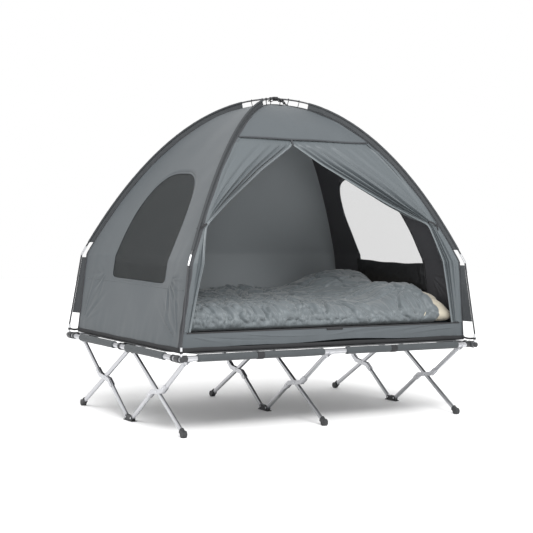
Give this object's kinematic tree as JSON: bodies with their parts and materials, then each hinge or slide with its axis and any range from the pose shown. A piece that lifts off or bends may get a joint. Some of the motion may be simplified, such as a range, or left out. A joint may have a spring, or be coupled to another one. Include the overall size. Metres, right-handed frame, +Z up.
{
  "type": "folding cot",
  "caption": "Double folding cot with cross-legged aluminium frame, domed tent on crossed poles, air mattress, sleeping bag and pillow.",
  "frame": {"origin": "on the floor under the middle of the cot", "axes": "+X along the bed towards the pillow, -Y out of the door side, +Z up"},
  "size_m": [1.938, 1.364, 1.786],
  "materials": {
    "silver_tube": "satin anodised",
    "inner_tube": "bare drawn tube",
    "black_plastic": "moulded nylon, fine grain",
    "foot_rubber": "moulded, matte",
    "black_plate": "black powder coat",
    "silver_plate": "stamped plate, satin",
    "steel_pin": "zinc plated",
    "rail_cloth": "coated oxford weave",
    "deck_cloth": "coated oxford weave",
    "webbing": "ribbed webbing",
    "tent_base": "coated oxford weave",
    "canopy_cloth": "coated oxford weave",
    "fin_cloth": "ribbed webbing and mesh",
    "window_net": "fine insect mesh",
    "window_cover": "coated, folded in its pocket",
    "flap_cloth": "coated oxford weave, gathered",
    "pole_black": "glass fibre rod",
    "elbow_silver": "bent tube, satin",
    "mattress_skin": "flocked vinyl",
    "quilt_cloth": "peached polyester",
    "lining_cloth": "brushed cotton",
    "pillow_cloth": "brushed cotton"
  },
  "bodies": {
    "centre_feet": {"centre_feet": "black_plastic", "centre_foot_pins": "steel_pin"},
    "inner_legs_front": {"leg_uppers_front": "silver_tube", "leg_lowers_front": "silver_tube", "cross_brackets_front": "silver_plate", "leg_pins_front": "steel_pin"},
    "outer_legs_front": {"plain_legs_front": "silver_tube", "outer_feet_front": "foot_rubber"},
    "rail_front": {"rail_brackets_front": "silver_plate", "side_rail_front": "silver_tube", "rail_coupler_front": "inner_tube", "rail_fittings_front": "black_plastic", "rail_sleeves_front": "rail_cloth", "rail_straps_front": "webbing"},
    "inner_legs_back": {"leg_uppers_back": "silver_tube", "leg_lowers_back": "silver_tube", "cross_brackets_back": "silver_plate", "leg_pins_back": "steel_pin"},
    "outer_legs_back": {"plain_legs_back": "silver_tube", "outer_feet_back": "foot_rubber"},
    "rail_back": {"rail_brackets_back": "silver_plate", "side_rail_back": "silver_tube", "rail_coupler_back": "inner_tube", "rail_fittings_back": "black_plastic", "rail_sleeves_back": "rail_cloth", "rail_straps_back": "webbing"},
    "centre_frame": {"centre_rail": "silver_tube", "centre_rail_coupler": "inner_tube", "centre_brackets": "black_plate", "centre_bracket_pins": "steel_pin", "end_bars": "silver_tube", "end_bar_couplers": "inner_tube", "end_bar_caps": "black_plastic", "end_yokes": "black_plastic", "end_sleeves": "rail_cloth", "deck": "deck_cloth", "tent_pins": "steel_pin"},
    "tent": {"tent_floor": "tent_base", "canopy_front": "canopy_cloth", "canopy_back": "canopy_cloth", "canopy_left": "canopy_cloth", "canopy_right": "canopy_cloth", "crown_patch": "fin_cloth", "window_meshes": "window_net", "window_rolls": "window_cover", "door_flap_left": "flap_cloth", "door_flap_right": "flap_cloth", "pole_sleeves": "fin_cloth", "pole_hub": "black_plastic", "upper_poles": "pole_black", "pole_elbows": "elbow_silver", "lower_poles": "pole_black", "pole_tips": "elbow_silver", "corner_straps": "webbing", "air_mattress": "mattress_skin", "sleeping_bag": "quilt_cloth", "bag_lining": "lining_cloth", "pillow": "pillow_cloth"}
  },
  "joints": [
    {"name": "fold", "type": "hinge", "parent": "centre_feet", "child": "inner_legs_front", "pos_m": [0, -0.03, 0.018], "axis": [-1, 0, 0], "range_deg": [0, 45], "deforming": ["end_sleeves"]},
    {"name": "crossing_front", "type": "hinge", "parent": "inner_legs_front", "child": "outer_legs_front", "pos_m": [0, -0.313, 0.198], "axis": [1, 0, 0], "range_deg": [0, 90]},
    {"name": "centre_top_front", "type": "hinge", "parent": "outer_legs_front", "child": "centre_frame", "pos_m": [0, -0.03, 0.378], "axis": [-1, 0, 0], "range_deg": [0, 45]},
    {"name": "rail_pivot_front", "type": "hinge", "parent": "inner_legs_front", "child": "rail_front", "pos_m": [0, -0.596, 0.378], "axis": [1, 0, 0], "range_deg": [0, 45]},
    {"name": "fold_back", "type": "hinge", "parent": "centre_feet", "child": "inner_legs_back", "pos_m": [0, 0.03, 0.018], "axis": [1, 0, 0], "range_deg": [0, 45]},
    {"name": "crossing_back", "type": "hinge", "parent": "inner_legs_back", "child": "outer_legs_back", "pos_m": [0, 0.313, 0.198], "axis": [-1, 0, 0], "range_deg": [0, 90]},
    {"name": "rail_pivot_back", "type": "hinge", "parent": "inner_legs_back", "child": "rail_back", "pos_m": [0, 0.596, 0.378], "axis": [-1, 0, 0], "range_deg": [0, 45]},
    {"name": "tent_lift", "type": "slide", "parent": "centre_frame", "child": "tent", "axis": [0, 0, 1], "range_m": [0, 0.3]}
  ],
  "couplings": [
    {"joint": "crossing_front", "follows": "fold", "ratio": 2},
    {"joint": "centre_top_front", "follows": "fold", "ratio": 1},
    {"joint": "rail_pivot_front", "follows": "fold", "ratio": 1},
    {"joint": "fold_back", "follows": "fold", "ratio": 1},
    {"joint": "crossing_back", "follows": "fold", "ratio": 2},
    {"joint": "rail_pivot_back", "follows": "fold", "ratio": 1}
  ]
}
